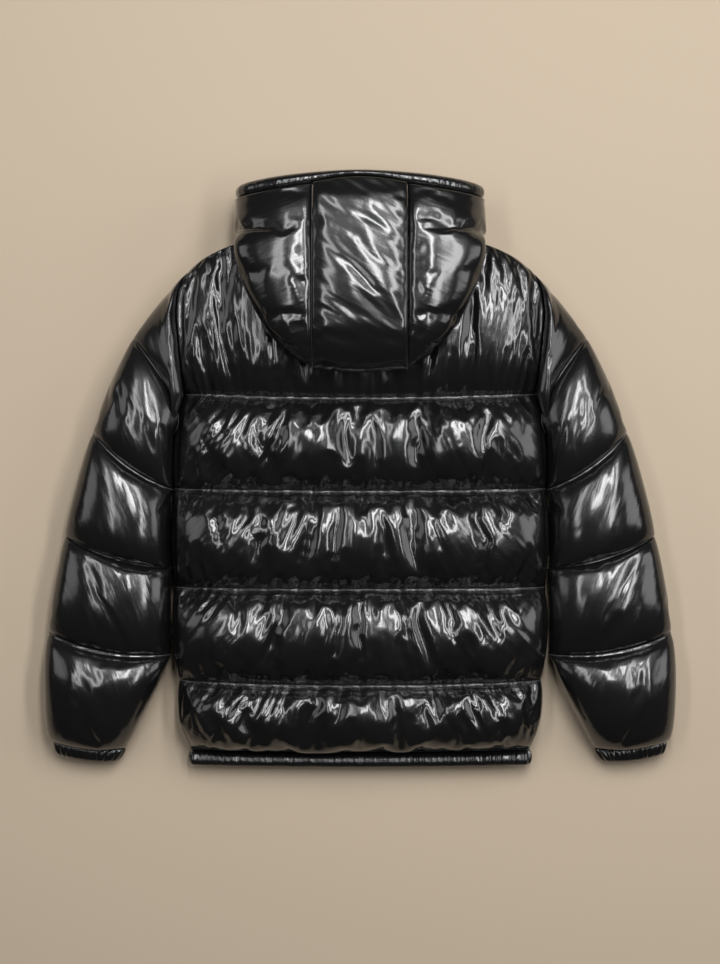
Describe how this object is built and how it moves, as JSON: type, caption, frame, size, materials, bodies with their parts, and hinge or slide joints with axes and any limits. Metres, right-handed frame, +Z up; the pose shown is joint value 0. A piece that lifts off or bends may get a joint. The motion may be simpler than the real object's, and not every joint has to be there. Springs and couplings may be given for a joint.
{
  "type": "puffer jacket",
  "caption": "Hooded quilted puffer jacket in high-gloss black, laid flat on its front with the hood dropped back, sleeves at its sides, elastic hem and cuffs.",
  "frame": {"origin": "middle of the jacket's outline on the surface it lies on", "axes": "+Z up out of the surface, +Y from the hem to the hood, +X to the wearer's right"},
  "size_m": [0.8206, 0.771, 0.16],
  "materials": {
    "shell": "gloss",
    "bands": "gloss",
    "zip_tape": "matte",
    "zip_metal": "satin"
  },
  "bodies": {
    "jacket": {"back_panel": "shell", "front_left": "shell", "front_right": "shell", "sleeve_left": "shell", "sleeve_right": "shell", "hood_center": "shell", "hood_side_left": "shell", "hood_side_right": "shell", "hood_rim": "shell", "collar_left": "shell", "collar_right": "shell", "hem_band": "bands", "cuff_left": "bands", "cuff_right": "bands", "zip_tape_left": "zip_tape", "zip_tape_right": "zip_tape", "zip_chain": "zip_metal", "zip_slider": "zip_metal"},
    "zip_pull": {"zip_pull": "zip_metal"}
  },
  "joints": [
    {"name": "zip_pull_swing", "type": "hinge", "parent": "jacket", "child": "zip_pull", "pos_m": [0, 0.32475, 0.01225], "axis": [1, 0, 0], "range_deg": [0, 145]}
  ]
}
